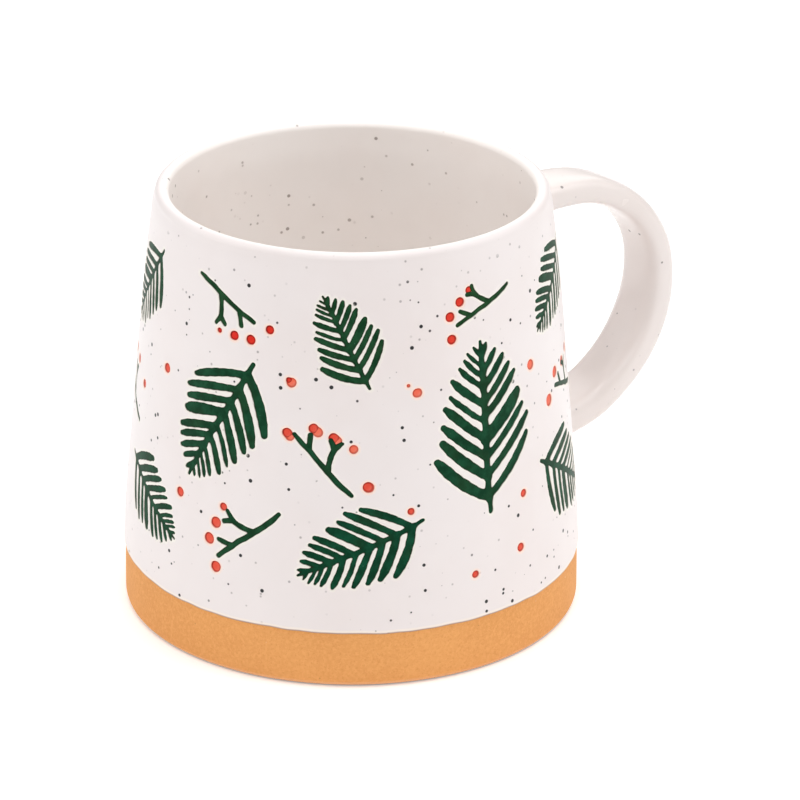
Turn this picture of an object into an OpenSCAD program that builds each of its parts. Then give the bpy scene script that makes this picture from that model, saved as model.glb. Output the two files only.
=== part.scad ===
// Stoneware mug with a strap handle, a bare clay foot band and a sunk
// pattern of pine sprigs and berry twigs laid in windows of the glaze.
// Origin: centre of the foot on the table. +Z up, handle towards +X.

/* [Body] */
// Height from the table to the crest of the lip
total_height = 94; // [80:1:110]
// Diameter of the clay just above the foot
base_d = 98.7; // [92:0.1:110]
// Outer diameter of the glazed rim
rim_d = 84.4; // [78:0.1:90]
// Thickness of the glazed lip
lip_t = 4.1; // [3.6:0.1:5.5]
// Thickness of the clay wall below the lip
wall_t = 4.2; // [3.5:0.1:6]
// Top of the clay floor inside the cup
floor_z = 7; // [6:0.5:10]
// Radius of the rounded lower edge
foot_edge_r = 2.9; // [1.5:0.1:4]
// Width of the ring that the mug stands on
foot_ring_w = 4.6; // [3:0.1:6]
// Depth of the recess under the floor
foot_recess = 1.8; // [1:0.1:2.5]

/* [Glaze] */
// Thickness of the glaze coat
glaze_t = 0.35; // [0.3:0.05:0.5]
// Height of the dip line where the white glaze stops
dip_z = 12.7; // [11:0.1:16]
// How far the painted shapes lie below the glaze surface
sunk = 0.12; // [0.05:0.01:0.15]

/* [Handle] */
// Width of the strap at the top joint, upper arm, lower arm and lower joint
strap_w = [13.6, 12.2, 13.4, 14.6]; // [10:0.1:16]
// Thickness of the strap at the same four places
strap_t = [6.6, 6.2, 7.6, 8.4]; // [5:0.1:9]
// Squareness of the strap's section, 2 is an ellipse
strap_square = 3; // [2:0.1:4]

/* [Pattern] */
// Size of the painted shapes against their places
pattern_scale = 1; // [0.8:0.05:1]

/* [Hidden] */
$fn = 96;

// ---- wall of the body ----
// Heights between which the wall bends into its taper, its shoulder and its lip
TAPER_Z = [2, 30];
SHOULDER_Z = [70, 86];
FLARE_Z = [86, 92];
shoulder_slope = 0.05;
flare_slope = 0.09;
lip_r = lip_t / 2;
lip_z = total_height - lip_r;
base_r = base_d / 2;

// Integral of a ramp that climbs from 0 to 1 between two heights
function eased(z, span) =
    z < span[0] ? 0 :
    z < span[1] ? pow(z - span[0], 2) / (2 * (span[1] - span[0])) :
    (span[1] - span[0]) / 2 + z - span[1];
bend_at_lip = flare_slope * eased(lip_z, FLARE_Z) - shoulder_slope * eased(lip_z, SHOULDER_Z);
taper_slope = (base_r + glaze_t - rim_d / 2 + bend_at_lip) / eased(lip_z, TAPER_Z);

// Radius of the bare clay wall at a height, and of a surface off it
function wall_r(z, off = 0) = base_r + off
    - taper_slope * eased(z, TAPER_Z)
    - shoulder_slope * eased(z, SHOULDER_Z)
    + flare_slope * eased(z, FLARE_Z);
function flipped(v) = [for (i = [len(v) - 1:-1:0]) v[i]];
function arc(c, r, a0, a1, n) = [for (i = [0:n]) let (a = a0 + (a1 - a0) * i / n)
    c + r * [cos(a), sin(a)]];

// Heights of the wall's facets. The lip starts this far below its crest inside.
WALL_Z = [foot_edge_r, 8, dip_z, 18, 24, 30, 40, 55, 70, 75, 80, 84, 88];
WALL_UP = [for (z = WALL_Z) if (z < lip_z) z];
GLAZED_UP = [for (z = WALL_UP) if (z >= dip_z) z];
lip_drop = 6;
inner_corner_r = 9;
INSIDE_DOWN = [for (z = flipped(WALL_UP))
    if (z > floor_z + inner_corner_r + 1 && z < total_height - lip_drop) z];
lip_c = [rim_d / 2 - lip_r, lip_z];
foot_in_r = base_r - foot_edge_r - foot_ring_w;
foot_slope_w = 1.5;
cup_r = wall_r(floor_z + inner_corner_r) - wall_t;

function lip_arc(off, a0, a1) = arc(lip_c, lip_r - glaze_t + off, a0, a1, 8);
function inner_wall(off) = [for (z = INSIDE_DOWN) [wall_r(z) - wall_t - off, z]];
function cup_floor(off) = arc([cup_r - inner_corner_r, floor_z + inner_corner_r],
    inner_corner_r - off, 0, -90, 8);

module clay_body() {
    color("#D9A062")
    rotate_extrude()
    polygon(concat(
        [[0, foot_recess], [foot_in_r - foot_slope_w, foot_recess], [foot_in_r, 0]],
        arc([base_r - foot_edge_r, foot_edge_r], foot_edge_r, -90, 0, 6),
        [for (z = WALL_UP) if (z > foot_edge_r) [wall_r(z), z]],
        lip_arc(0, 0, 180),
        inner_wall(0),
        cup_floor(0),
        [[0, floor_z]]));
}

// ---- glaze coats ----
module outer_coat(depth_from, depth_to) {
    rotate_extrude()
    polygon(concat(
        [for (z = GLAZED_UP) [wall_r(z, depth_from), z]],
        lip_arc(depth_from, 0, 90),
        lip_arc(depth_to, 90, 0),
        [for (z = flipped(GLAZED_UP)) [wall_r(z, depth_to), z]]));
}
module outer_glaze() {
    color("#F1ECE8")
    difference() {
        outer_coat(0, glaze_t);
        joint_window(upper_joint_z, upper_joint_size);
        joint_window(lower_joint_z, lower_joint_size);
        for (s = SPRIGS) wall_prism(s, sprig_outline());
        for (t = TWIGS) wall_prism(t, twig_outline());
        for (b = concat(TWIG_BERRIES, LOOSE_BERRIES)) berry_peg(b);
    }
}
module liner_glaze() {
    color("#ECE7E2")
    rotate_extrude()
    polygon(concat(
        lip_arc(0, 90, 180),
        inner_wall(0),
        cup_floor(0),
        [[0, floor_z], [0, floor_z + glaze_t]],
        flipped(cup_floor(glaze_t)),
        flipped(inner_wall(glaze_t)),
        lip_arc(glaze_t, 180, 90)));
}

// ---- strap handle ----
// Middle line of the strap: distance from the mug's axis, height
HANDLE_PATH = [[40, 80], [52, 81.2], [64, 79.6], [75, 73], [81.4, 62.5],
    [81.6, 50], [76, 38.5], [66, 30.2], [55, 27], [43, 26]];
upper_joint_z = 80.2;
lower_joint_z = 26.4;
// The slip squeezed out round the strap's ends, across and up
slip_spread = [2.6, 3.4];
upper_joint_size = [strap_w[0], strap_t[0]] + slip_spread;
lower_joint_size = [strap_w[3], strap_t[3]] + slip_spread;
// How far a joint window reaches to either side of the wall's surface
joint_reach = 6;
path_steps = 4;
section_n = 20;
flare_len = 9;
flare_gain = 0.18;
last_leg = len(HANDLE_PATH) - 2;
ring_n = (last_leg + 1) * path_steps;

function path_pt(i) = HANDLE_PATH[max(0, min(last_leg + 1, i))];
function bend(a, b, c, d, t) = 0.5 * (2 * b + (c - a) * t + (2 * a - 5 * b + 4 * c - d) * t * t
    + (3 * b - a - 3 * c + d) * t * t * t);
function on_path(u) = let (i = min(last_leg, floor(u)))
    bend(path_pt(i - 1), path_pt(i), path_pt(i + 1), path_pt(i + 2), u - i);
function heading(u) = let (d = on_path(min(last_leg + 1, u + 0.02)) - on_path(max(0, u - 0.02)))
    d / norm(d);
// Value of a four-part list at a fraction of the way round the strap
function along(list, f) = let (k = min(2, floor(f * 3)), t = f * 3 - k, e = t * t * (3 - 2 * t))
    list[k] * (1 - e) + list[k + 1] * e;
function flare(p) = let (gap = min(norm(p - [wall_r(upper_joint_z), upper_joint_z]),
    norm(p - [wall_r(lower_joint_z), lower_joint_z])))
    1 + flare_gain * pow(max(0, 1 - gap / flare_len), 2);
function squared(v) = sign(v) * pow(abs(v), 2 / strap_square);
function strap_ring(u, off) =
    let (p = on_path(u), d = heading(u), side = [-d[1], d[0]], f = u / (last_leg + 1),
        w = along(strap_w, f) / 2 * flare(p) + off, t = along(strap_t, f) / 2 * flare(p) + off)
    [for (i = [0:section_n - 1]) let (a = 360 * i / section_n, q = p + side * t * squared(sin(a)))
        [q[0], w * squared(cos(a)), q[1]]];

module strap(off) {
    rings = [for (k = [0:ring_n]) each strap_ring(k / path_steps, off)];
    sides = [for (k = [0:ring_n - 1]) for (i = [0:section_n - 1])
        let (a = k * section_n + i, b = k * section_n + (i + 1) % section_n)
        each [[a, a + section_n, b], [b, a + section_n, b + section_n]]];
    first_cap = [for (i = [0:section_n - 1]) i];
    last_cap = [for (i = [section_n - 1:-1:0]) ring_n * section_n + i];
    polyhedron(points = rings, faces = concat(sides, [first_cap, last_cap]));
}
// The solid that the glazed body fills, for trimming the strap to it
module filled_body() {
    rotate_extrude()
    polygon(concat([[0, WALL_UP[0]]], [for (z = WALL_UP) [wall_r(z, glaze_t), z]],
        [[0, WALL_UP[len(WALL_UP) - 1]]]));
}
module handle_core() {
    color("#DDAA70")
    difference() {
        strap(-glaze_t);
        filled_body();
    }
}
module handle_glaze() {
    color("#F1ECE8")
    difference() {
        difference() {
            strap(0);
            filled_body();
        }
        strap(-glaze_t);
    }
}
module joint_window(z, size) {
    outline = [for (i = [0:27]) let (a = 360 * i / 28)
        [size[1] / 2 * squared(sin(a)), size[0] / 2 * squared(cos(a))]];
    translate([wall_r(z) - joint_reach, 0, z])
    rotate([0, 90, 0])
    linear_extrude(2 * joint_reach)
    polygon(outline);
}
module slip_joint(z, size) {
    intersection() {
        outer_coat(0, glaze_t);
        joint_window(z, size);
    }
}
module upper_slip_joint() {
    color("#C98F55") slip_joint(upper_joint_z, upper_joint_size);
}
module lower_slip_joint() {
    color("#C98F55") slip_joint(lower_joint_z, lower_joint_size);
}

// ---- painted pattern ----
// Where each pine sprig's stem starts: azimuth, height, turn to the left, size
SPRIGS = [
    [-89, 35.7, 1, 1], [-121.6, 66, 25, 0.57], [-152.8, 69.5, 149, 0.85],
    [-108, 36.5, 112, 0.77], [168.5, 85.3, 143, 0.65], [158, 37.6, -118, 0.67],
    [-41, 84.1, 127, 0.65], [-68.3, 41.6, -119, 0.77],
    [-14, 45, 14, 0.72], [36, 85, 150, 0.6], [66, 37, -6, 0.9],
    [47, 36, 118, 0.64], [90, 41, -120, 0.7], [104, 66, -28, 0.52],
    [139, 72, 150, 0.74]];
// The same for each berry twig's plain end
TWIGS = [
    [-173.2, 85.6, -116, 0.93], [-125.6, 42.8, 44, 1], [-144, 38.2, 131, 1.05],
    [-78, 83.2, 113, 0.86], [-38.2, 50.5, 74, 0.89], [160.5, 45.2, 60, 1],
    [-33, 82, -112, 0.8], [-14, 38, 128, 0.8], [27, 47, 22, 0.95],
    [72, 84, -112, 0.85], [102, 46, 8, 0.9], [147, 39, 112, 0.9]];
// Leaflets of one sprig from the stem to the tip, in mm from the stem's start:
// root height, tip across, tip height, sag, width
RIGHT_LEAFLETS = [[3.8, 12.5, 14.3, 1, 2], [8.2, 13, 18.3, 0.5, 1.9], [11.9, 11.5, 20.8, 0.4, 1.8],
    [15.9, 10.6, 24.3, 0.5, 3.3], [20.6, 9.4, 28.7, 0.5, 1.9], [23.6, 7.9, 30.9, 0.4, 1.7],
    [26.8, 6.3, 33.2, 0.3, 1.6], [30.2, 4.1, 34.9, 0.3, 1.4], [33.4, 1.8, 36.7, 0.2, 1]];
LEFT_LEAFLETS = [[3.7, -12.2, 14, 1.1, 2.2], [7.9, -10.8, 17.8, 0.7, 2], [12, -10.2, 21, 0.4, 1.8],
    [15.7, -9.4, 24.8, 0.3, 2], [19.8, -8, 27, 0.5, 1.3], [23.6, -7.4, 30.4, 0.5, 1.8],
    [27.2, -5.4, 32.6, 0.4, 1.2], [29.6, -4.2, 34.1, 0.3, 1], [31.7, -3.3, 35.4, 0.2, 0.85],
    [33.9, -1.8, 36.3, 0.1, 0.7]];
sprig_tip = [-0.1, 37.3];
spine_w = 1.5;
// Distances from the mug's axis between which the pattern is cut
mark_from = 38;
mark_to = 52;
// How far a berry's peg reaches to either side of the wall's surface
berry_reach = 4;
// Loose and twig berries: azimuth, height, radius
TWIG_BERRIES = [
    [-164, 74.8, 0.6], [-159.3, 74.5, 1.05], [-154, 74.4, 1.1], [-148.7, 77.2, 1.05],
    [-142.8, 56.3, 1.2], [-136, 57.6, 1.1], [-130.9, 56.2, 1], [-125.8, 53.3, 0.95],
    [-160.1, 37.4, 0.95], [-162, 33.3, 1.3], [-163.9, 29.4, 1.2], [-161.6, 23.5, 1.2],
    [-92.6, 84.6, 0.9], [-95.6, 82.2, 1.1], [-98.8, 79.5, 1.15], [-98.7, 74.7, 1.1],
    [-56.8, 57.9, 1.2], [-49.8, 58.2, 1.1], [-61.9, 53.1, 1.3], [-44, 59.5, 1],
    [162.3, 54.2, 0.9], [155, 57.6, 1], [149.5, 58.6, 1], [142.5, 53.6, 1.1],
    [-28, 73, 0.9], [-23.6, 71.4, 1], [-19.4, 71.2, 1.1], [-14.2, 74, 1],
    [-25.6, 39.2, 0.9], [-28.8, 35.8, 1], [-29.4, 31.6, 1.1], [-27.2, 27.6, 1],
    [34, 56.4, 0.9], [31, 60.4, 1], [27, 63.8, 1.1], [20.6, 65.6, 1],
    [78, 75.8, 0.9], [82.4, 74.6, 1], [87, 74.4, 1.1], [92, 77, 1],
    [111, 54.4, 0.9], [108, 58.2, 1], [104, 61.8, 1.1], [98, 63.4, 1],
    [136, 43.6, 0.9], [131.6, 41.2, 1], [127.4, 38, 1.1], [125.6, 33, 1]];
LOOSE_BERRIES = [
    [-142, 67, 1.15], [-108.8, 64.6, 1.1], [-122.1, 45, 1.05], [-111, 39, 0.75],
    [-174.8, 36.8, 1.05], [176, 61.8, 1.05], [-70.7, 63.5, 1.1], [-76.9, 36.6, 0.85],
    [-79, 25, 0.95], [-94, 22.6, 0.8], [-36, 67, 1], [-8, 40, 0.9],
    [18, 42, 1], [42, 60, 1.1], [54, 78, 1], [76, 26, 0.9],
    [92, 68, 1], [118, 62, 1.1], [120, 46, 0.9], [134, 24, 1]];

function turned(p, a) = [p[0] * cos(a) - p[1] * sin(a), p[0] * sin(a) + p[1] * cos(a)];
// A leaflet's middle line sags a little towards the stem
function leaflet_pt(l, t) = let (tip = [l[1], l[2]], root = [0, l[0]])
    root * (1 - t) + tip * t - [0, 4 * l[3] * t * (1 - t)];
function leaflet_side(l, t, s) = let (d = leaflet_pt(l, t + 0.01) - leaflet_pt(l, t), u = d / norm(d))
    leaflet_pt(l, t) + s * l[4] / 2 * [-u[1], u[0]];
LEAF_T = [0.3, 0.85];
function leaflet_edge(l, s) = concat(
    [for (t = LEAF_T) leaflet_side(l, t, s)],
    [leaflet_pt(l, 1)],
    [for (t = flipped(LEAF_T)) leaflet_side(l, t, -s)]);
function notch(l, side) = [side * spine_w / 2 * (1 - 0.012 * l[0]), l[0] + 0.9 + l[4] / 2];
function side_edge(leaves, s, side) = [for (k = [0:len(leaves) - 1])
    each concat(leaflet_edge(leaves[k], s), k < len(leaves) - 1 ? [notch(leaves[k], side)] : [])];
function sprig_outline() = concat(
    [[-0.45, 0.2], [0.45, 0.2], [0.7, 2.6]],
    side_edge(RIGHT_LEAFLETS, -1, 1),
    [sprig_tip],
    flipped(side_edge(LEFT_LEAFLETS, 1, -1)),
    [[-0.7, 2.8]]);
function twig_outline() = [
    [-0.25, 0], [0.25, 0], [0.7, 2.7], [0.95, 6.2], [1.6, 7.2], [2.7, 8.3], [4.1, 9.1], [6.2, 8.8],
    [6.6, 9.7], [5.1, 10.3], [6.1, 11.6], [5.3, 12.2], [3.9, 10.5], [2.2, 9.8], [1.1, 9.2], [0.95, 13.2],
    [1.5, 14], [3, 15.6], [2.4, 16.4], [0.9, 15.2], [0.4, 18.3], [-0.3, 18.3], [0, 13.8],
    [-0.2, 7.6], [-0.4, 2.7]];

// A flat outline stood upright against the wall, its widths measured round it
module wall_prism(place, outline) {
    az = place[0];
    size = place[3] * pattern_scale;
    pts = [for (p = outline) let (q = turned(p, place[2]) * size, z = place[1] + q[1], r = wall_r(z))
        [r * sin(q[0] / r * 180 / PI), z]];
    rotate([0, 0, az + 90])
    translate([0, -mark_from, 0])
    rotate([90, 0, 0])
    linear_extrude(mark_to - mark_from)
    polygon(pts);
}
module berry_peg(b) {
    rotate([0, 0, b[0]])
    translate([wall_r(b[1]) - berry_reach, 0, b[1]])
    rotate([0, 90, 0])
    cylinder(r = b[2] * pattern_scale, h = 2 * berry_reach, $fn = 24);
}
module colour_coat() {
    outer_coat(0, glaze_t - sunk);
}
module pine_sprig(i) {
    color("#1F5034")
    intersection() {
        colour_coat();
        wall_prism(SPRIGS[i - 1], sprig_outline());
    }
}
module berry_twig(i) {
    color("#2A5233")
    intersection() {
        colour_coat();
        wall_prism(TWIGS[i - 1], twig_outline());
    }
}
module berries(list) {
    color("#D9523F")
    intersection() {
        colour_coat();
        union() {
            for (b = list) berry_peg(b);
        }
    }
}
module twig_berries() { berries(TWIG_BERRIES); }
module loose_berries() { berries(LOOSE_BERRIES); }

clay_body();
handle_core();
upper_slip_joint();
lower_slip_joint();
outer_glaze();
liner_glaze();
handle_glaze();
twig_berries();
loose_berries();
for (i = [1:len(SPRIGS)])
    pine_sprig(i);
for (i = [1:len(TWIGS)])
    berry_twig(i);
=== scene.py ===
"""Stoneware mug: the looks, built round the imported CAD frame.

Lengths are in millimetres until a mesh is made. The wall is unrolled as azimuth (degrees)
against height, and every painted shape is cut into the glaze along contours of its own
distance field.
"""

import math

import bpy
import numpy as np
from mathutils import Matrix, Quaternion, Vector
from mathutils.geometry import delaunay_2d_cdt


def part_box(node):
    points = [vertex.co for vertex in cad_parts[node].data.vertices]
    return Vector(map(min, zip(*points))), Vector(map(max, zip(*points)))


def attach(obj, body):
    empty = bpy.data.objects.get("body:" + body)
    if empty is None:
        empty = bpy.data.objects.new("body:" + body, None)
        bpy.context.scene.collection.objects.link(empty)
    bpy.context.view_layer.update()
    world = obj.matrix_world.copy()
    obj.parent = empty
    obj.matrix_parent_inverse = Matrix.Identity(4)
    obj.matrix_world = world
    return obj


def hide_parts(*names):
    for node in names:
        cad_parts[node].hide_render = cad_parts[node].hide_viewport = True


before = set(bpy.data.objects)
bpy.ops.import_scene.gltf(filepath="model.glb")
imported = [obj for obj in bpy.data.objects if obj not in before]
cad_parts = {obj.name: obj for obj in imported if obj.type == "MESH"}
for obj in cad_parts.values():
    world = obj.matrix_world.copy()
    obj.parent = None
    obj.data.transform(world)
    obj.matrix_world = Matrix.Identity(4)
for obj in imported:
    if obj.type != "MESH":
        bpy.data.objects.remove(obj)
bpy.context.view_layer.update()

# ---- the body's sizes: the CAD's, but for a thinner lip and a sharper foot edge ----
HEIGHT = 94.0
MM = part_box("liner_glaze")[1].z / HEIGHT
BASE_R = 49.35
RIM_R = 41.75
LIP_R = 1.55
WALL_T = 4.2
FLOOR_Z = 7.0
FOOT_EDGE_R = 1.9
FOOT_RING_W = 4.6
FOOT_RECESS = 1.8
INNER_CORNER_R = 9.0
GLAZE_T = 0.35
DIP_Z = 12.7
LIP_Z = HEIGHT - LIP_R
LIP_C = RIM_R - LIP_R
TAPER_Z, SHOULDER_Z, FLARE_Z, ROUND_Z = (2.0, 30.0), (70.0, 86.0), (86.0, 92.0), (89.5, 92.0)
SHOULDER_SLOPE, FLARE_SLOPE, ROUND_SLOPE = 0.05, 0.09, 0.25


def eased(z, span):
    """Integral of a ramp that climbs from 0 to 1 between two heights."""
    a, b = span
    z = np.asarray(z, float)
    return np.where(z < a, 0, np.where(z < b, (z - a) ** 2 / (2 * (b - a)), (b - a) / 2 + z - b))


TAPER_SLOPE = float(
    BASE_R + GLAZE_T - RIM_R
    + FLARE_SLOPE * eased(LIP_Z, FLARE_Z)
    - SHOULDER_SLOPE * eased(LIP_Z, SHOULDER_Z)
    - ROUND_SLOPE * eased(LIP_Z, ROUND_Z)
) / float(eased(LIP_Z, TAPER_Z))


def wall_r(z):
    """Radius of the bare clay wall at a height."""
    return (
        BASE_R
        - TAPER_SLOPE * eased(z, TAPER_Z)
        - SHOULDER_SLOPE * eased(z, SHOULDER_Z)
        + FLARE_SLOPE * eased(z, FLARE_Z)
        - ROUND_SLOPE * eased(z, ROUND_Z)
    )


def uneven(az, z):
    """The small waves a cast wall keeps, in mm."""
    a = np.radians(az)
    return (
        0.05 * np.sin(2 * a + 0.7 + 0.02 * z)
        + 0.035 * np.sin(3 * a + 2.1 - 0.035 * z)
        + 0.02 * np.sin(5 * a + 0.06 * z)
        + 0.015 * np.sin(0.21 * z + a)
    )


def round_point(az, r, z):
    """Points in mm from azimuth, radius and height, with the wall's unevenness."""
    az, r, z = np.broadcast_arrays(np.asarray(az, float), np.asarray(r, float), np.asarray(z, float))
    a = np.radians(az)
    rr = r + uneven(az, z) * np.clip(r / 30, 0, 1) * np.clip(z / 4, 0, 1)
    return np.stack([rr * np.cos(a), rr * np.sin(a), z], -1)


def outer_rz(s, off):
    """Radius and height on the outer wall. s is the height up to the lip, then the length
    round the lip to its crest."""
    s, off = np.broadcast_arrays(np.asarray(s, float), np.asarray(off, float))
    t = np.clip((s - LIP_Z) / LIP_R, 0, math.pi)
    rho = LIP_R - GLAZE_T + off
    on_lip = s > LIP_Z
    r = np.where(on_lip, LIP_C + rho * np.cos(t), wall_r(np.minimum(s, LIP_Z)) + off)
    return r, np.where(on_lip, LIP_Z + rho * np.sin(t), s)


def on_wall(az, s, off):
    """Points in mm on the outer wall, off the clay by a distance."""
    return round_point(az, *outer_rz(s, off))


def outer_normal(az, s, step=0.05, turn=0.2):
    """Which way the wall faces, from small steps up it and round it."""
    up = on_wall(az, s + step, GLAZE_T) - on_wall(az, s - step, GLAZE_T)
    across = on_wall(az + turn, s, GLAZE_T) - on_wall(az - turn, s, GLAZE_T)
    n = np.cross(across, up)
    return n / np.linalg.norm(n, axis=-1)[..., None]


# ---- painted shapes as distance fields ----
STEP = 0.085
FAR = 9.0  # stands for any distance beyond a field's grid


class Field:
    """Signed distances in mm on a grid, negative inside the shape."""

    def __init__(self, strokes, blend, margin, ripple, seed):
        low = np.min([(p - r[:, None]).min(0) for p, r, _ in strokes], axis=0) - margin
        high = np.max([(p + r[:, None]).max(0) for p, r, _ in strokes], axis=0) + margin
        self.x0, self.y0 = low
        nx, ny = np.ceil((high - low) / STEP).astype(int) + 1
        self.nx, self.ny = int(nx), int(ny)
        groups = {}
        for pts, radii, group in strokes:
            d = groups.setdefault(group, np.full((self.ny, self.nx), FAR))
            reach = margin + radii.max()
            j0, i0 = np.maximum(0, ((pts.min(0) - reach - low) / STEP).astype(int))
            j1, i1 = np.minimum((self.nx, self.ny), ((pts.max(0) + reach - low) / STEP).astype(int) + 2)
            gx = self.x0 + STEP * np.arange(j0, j1)[None, :]
            gy = self.y0 + STEP * np.arange(i0, i1)[:, None]
            best = np.full((i1 - i0, j1 - j0), FAR)
            for a, b, ra, rb in zip(pts[:-1], pts[1:], radii[:-1], radii[1:]):
                ab = b - a
                t = np.clip(((gx - a[0]) * ab[0] + (gy - a[1]) * ab[1]) / (ab @ ab), 0, 1)
                dist = np.hypot(gx - a[0] - t * ab[0], gy - a[1] - t * ab[1]) - ra - t * (rb - ra)
                np.minimum(best, dist, out=best)
            np.minimum(d[i0:i1, j0:j1], best, out=d[i0:i1, j0:j1])
        names = sorted(groups)
        total = groups[names[0]]
        for name in names[1:]:
            other = groups[name]
            h = np.clip(blend - np.abs(total - other), 0, None) / blend
            total = np.minimum(total, other) - h * h * blend / 4
        gx = self.x0 + STEP * np.arange(self.nx)[None, :]
        gy = self.y0 + STEP * np.arange(self.ny)[:, None]
        wave = (
            np.sin(2.3 * gx + 1.1 * gy + seed)
            + np.sin(1.7 * gy - 1.9 * gx + 2 * seed)
            + 0.7 * np.sin(4.1 * gx + 3 * seed) * np.sin(3.7 * gy + seed)
        )
        self.v = total + ripple * wave

    def at(self, p):
        """Distances at points, by bilinear reading."""
        fx = (p[:, 0] - self.x0) / STEP
        fy = (p[:, 1] - self.y0) / STEP
        ok = (fx >= 0) & (fy >= 0) & (fx < self.nx - 1) & (fy < self.ny - 1)
        j, i = np.clip(fx, 0, self.nx - 2).astype(int), np.clip(fy, 0, self.ny - 2).astype(int)
        u, w = np.clip(fx - j, 0, 1), np.clip(fy - i, 0, 1)
        v = self.v
        d = (v[i, j] * (1 - u) + v[i, j + 1] * u) * (1 - w) + (v[i + 1, j] * (1 - u) + v[i + 1, j + 1] * u) * w
        return np.where(ok, d, FAR)

    def loops(self, level):
        """Closed contours at a level, by marching squares, the shape on their left."""
        v = self.v - level
        b = v < 0
        code = b[:-1, :-1] + 2 * b[:-1, 1:] + 4 * b[1:, 1:] + 8 * b[1:, :-1]
        cells = np.argwhere((code > 0) & (code < 15))
        follow = {}
        for i, j in cells.tolist():
            sides = ((0, i, j), (1, i, j + 1), (0, i + 1, j), (1, i, j))
            for a, c in CROSSINGS[int(code[i, j])]:
                follow[sides[a]] = sides[c]
        out = []
        while follow:
            start = next(iter(follow))
            side, chain = start, []
            while side in follow:
                chain.append(side)
                side = follow.pop(side)
            pts = []
            for kind, i, j in chain:
                i2, j2 = (i, j + 1) if kind == 0 else (i + 1, j)
                t = v[i, j] / (v[i, j] - v[i2, j2])
                pts.append((self.x0 + STEP * (j + t * (j2 - j)), self.y0 + STEP * (i + t * (i2 - i))))
            out.append(np.array(pts))
        return out


CROSSINGS = {
    1: [(0, 3)], 2: [(1, 0)], 3: [(1, 3)], 4: [(2, 1)], 5: [(0, 3), (2, 1)], 6: [(2, 0)], 7: [(2, 3)],
    8: [(3, 2)], 9: [(0, 2)], 10: [(1, 0), (3, 2)], 11: [(1, 2)], 12: [(3, 1)], 13: [(0, 1)], 14: [(3, 0)],
}


def thinned(loop, scale, longest, turn_limit=math.radians(15)):
    """Fewer points on a contour: close together only where it bends."""
    before, after = np.roll(loop, 1, 0), np.roll(loop, -1, 0)
    smooth = (np.roll(loop, 2, 0) + 2 * before + 3 * loop + 2 * after + np.roll(loop, -2, 0)) / 9
    d = np.roll(smooth, -1, 0) - smooth
    length = np.hypot(d[:, 0], d[:, 1]) * scale
    heading = np.unwrap(np.arctan2(d[:, 1], d[:, 0]))
    bend = np.abs(np.diff(heading, append=heading[-1]))
    keep, run, turned_by = [], longest, 0.0
    for k in range(len(smooth)):
        if run >= longest or (turned_by >= turn_limit and run > 0.06):
            keep.append(k)
            run = turned_by = 0.0
        run += length[k]
        turned_by += bend[k]
    return smooth[keep]


# ---- the pattern: within a millimetre of the CAD's places ----
SPRIGS = [
    (-89, 35.7, 1, 1), (-121.6, 66, 25.7, 0.575), (-152.6, 69, 150, 0.85), (-108, 36.5, 113.5, 0.775),
    (168.5, 85.3, 143, 0.65), (158, 37.6, -118, 0.67), (-41, 84.1, 127, 0.65), (-68.3, 41.6, -119, 0.77),
    (-14, 45, 14, 0.72), (36, 85, 150, 0.6), (66, 37, -6, 0.9), (47, 36, 118, 0.64), (90, 41, -120, 0.7),
    (104, 66, -28, 0.52), (139, 72, 150, 0.74),
]
NARROW_SPRIGS = {3: 0.91}
TWIGS = [
    (-172.7, 85.5, -116, 0.93), (-125.6, 42.8, 44, 1), (-144, 38.2, 131, 1.05), (-78, 83.2, 113, 0.86),
    (-38.2, 50.5, 74, 0.89), (160.5, 45.2, 60, 1), (-33, 82, -112, 0.8), (-14, 38, 128, 0.8),
    (27, 47, 22, 0.95), (72, 84, -112, 0.85), (102, 46, 8, 0.9), (147, 39, 112, 0.9),
]
# Leaflets: where the middle line leaves the stem, where its tip is, how far it sags, and its width
RIGHT_LEAFLETS = [
    (3.3, 12.5, 14.3, 1.0, 2.0), (8.0, 13, 18.3, 0.5, 1.9), (11.9, 11.5, 20.8, 0.4, 1.8), (15.9, 10.6, 24.3, 0.5, 3.3),
    (20.6, 9.4, 28.7, 0.5, 1.9), (23.6, 7.9, 30.9, 0.4, 1.7), (26.8, 6.3, 33.2, 0.3, 1.7), (30.2, 4.1, 34.9, 0.3, 1.5),
    (33.4, 1.8, 36.7, 0.2, 1.2),
]
LEFT_LEAFLETS = [
    (3.2, -12.2, 14, 1.3, 2.5), (7.7, -10.8, 17.8, 0.8, 2.3), (12, -10.2, 21, 0.5, 2.0), (15.7, -9.4, 24.8, 0.3, 2.0),
    (19.8, -8, 27, 0.5, 1.3), (23.6, -7.4, 30.4, 0.5, 1.8), (27.2, -5.4, 32.6, 0.4, 1.3), (29.6, -4.2, 34.1, 0.3, 1.1),
    (31.7, -3.3, 35.4, 0.2, 0.9), (34, -1.7, 36.4, 0.1, 0.8),
]
SPINE = [
    (0.35, -0.1, 1.1), (0.3, 2.4, 1.3), (0.15, 5, 1.5), (0.1, 12, 1.5), (0.2, 18, 1.6), (0.4, 24, 1.5), (0.4, 30, 1.4),
    (0.3, 34, 1.1), (0.1, 37.1, 0.7),
]
TWIG_STROKES = [
    [
        (-0.05, 0.4, 0.85), (-0.2, 2, 1.1), (-0.25, 5, 1.2), (-0.1, 8, 1.2), (0.1, 11, 1.1), (0.2, 14, 1.1),
        (0.15, 17.7, 1.0),
    ],
    [(0, 7.5, 1.3), (1.4, 8.55, 1.15), (2.9, 9.5, 1.15), (4.3, 10.05, 1.3)],
    [(4.2, 10, 1.2), (4.75, 11, 1.1), (5.1, 11.9, 1.05)],
    [(4.2, 10.05, 1.2), (5.3, 9.95, 1.05), (6.3, 9.8, 0.9)],
    [(0.2, 13.4, 1.2), (1.5, 14.5, 1.1), (2.75, 15.5, 1.05)],
]
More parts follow.
